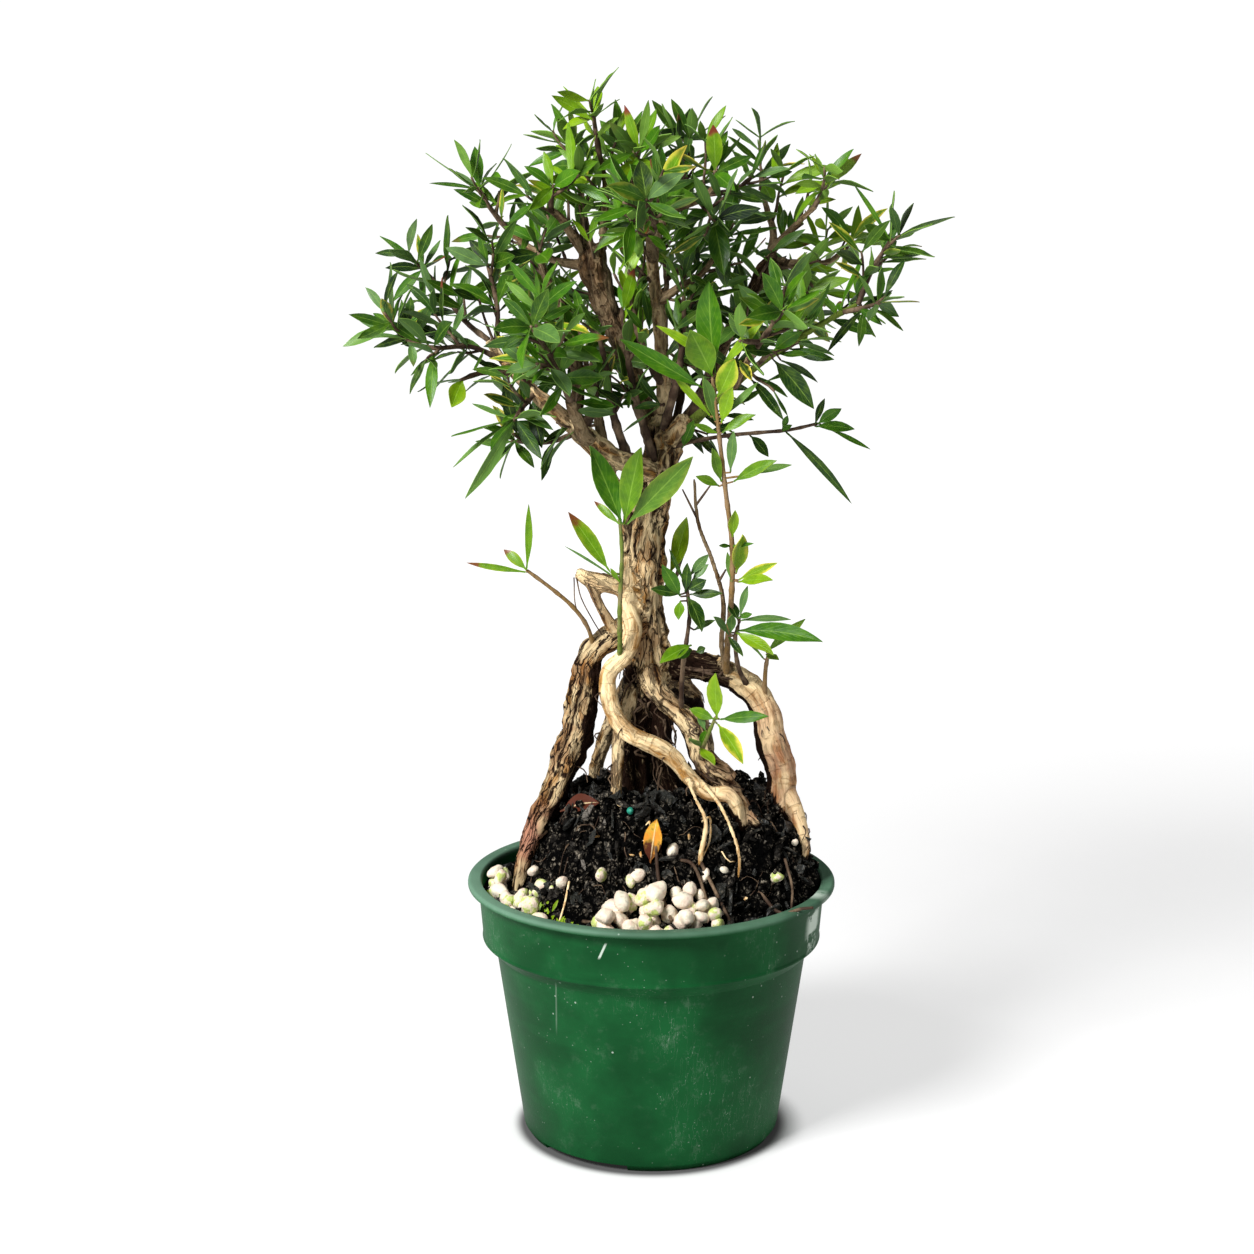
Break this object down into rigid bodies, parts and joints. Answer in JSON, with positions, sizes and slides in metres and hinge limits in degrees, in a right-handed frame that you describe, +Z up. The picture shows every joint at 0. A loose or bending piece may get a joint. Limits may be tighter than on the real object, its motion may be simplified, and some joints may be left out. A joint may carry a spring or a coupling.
{
  "type": "serissa bonsai in a nursery pot",
  "caption": "Small upright exposed-root bonsai with an airy crown of lance-shaped leaves, bare roots straddling a dark soil mound in a round green plastic pot with a wide collar.",
  "frame": {"origin": "on the ground under the middle of the pot, which is also the middle of the whole tree and pot seen from above", "axes": "+Z up along the trunk, +X to the right and +Y away from a viewer who faces the front of the tree"},
  "size_m": [0.257, 0.1961, 0.468],
  "materials": {
    "pot_plastic": "satin",
    "bark": "matte",
    "leaf": "satin",
    "leaf_bright": "satin",
    "soil_mix": "matte",
    "pellet": "matte",
    "prill_shell": "satin",
    "dry_leaf": "matte"
  },
  "bodies": {
    "root": {"pot": "pot_plastic", "soil": "soil_mix", "wood": "bark", "left_end": "leaf", "left_crook": "leaf", "left_mast": "leaf", "left_low": "leaf", "left_droop": "leaf", "left_under": "leaf", "mast_far": "leaf", "shoulder_left": "leaf", "crown_left": "leaf", "crown_top": "leaf", "crown_split": "leaf", "crown_fan": "leaf", "crown_right": "leaf", "crown_torn": "leaf", "heart_high": "leaf", "heart_right": "leaf", "right_bow": "leaf", "right_whorl": "leaf", "right_shoulder": "leaf", "right_reach": "leaf", "right_tip": "leaf", "right_elbow": "leaf", "right_dark": "leaf", "right_drop": "leaf", "low_twig": "leaf", "inner_left": "leaf", "mid_left": "leaf", "rise_tip": "leaf", "mid_right": "leaf", "right_inner": "leaf", "front_left": "leaf", "front_right": "leaf", "front_top": "leaf", "back_left": "leaf", "back_right": "leaf", "back_top": "leaf", "back_crown": "leaf", "tall_sprout": "leaf_bright", "left_twig": "leaf_bright", "front_shoot": "leaf_bright", "dark_cluster": "leaf", "right_cluster": "leaf", "right_sprout": "leaf_bright", "front_sprout": "leaf_bright", "trunk_leaf": "leaf", "pellet_heap_front": "pellet", "pellet_heap_left": "pellet", "pellet_left": "pellet", "pellet_middle": "pellet", "pellet_right": "pellet", "pellet_far_left": "pellet", "green_prill": "prill_shell", "fallen_leaf": "dry_leaf", "dry_leaf": "dry_leaf"}
  },
  "joints": []
}
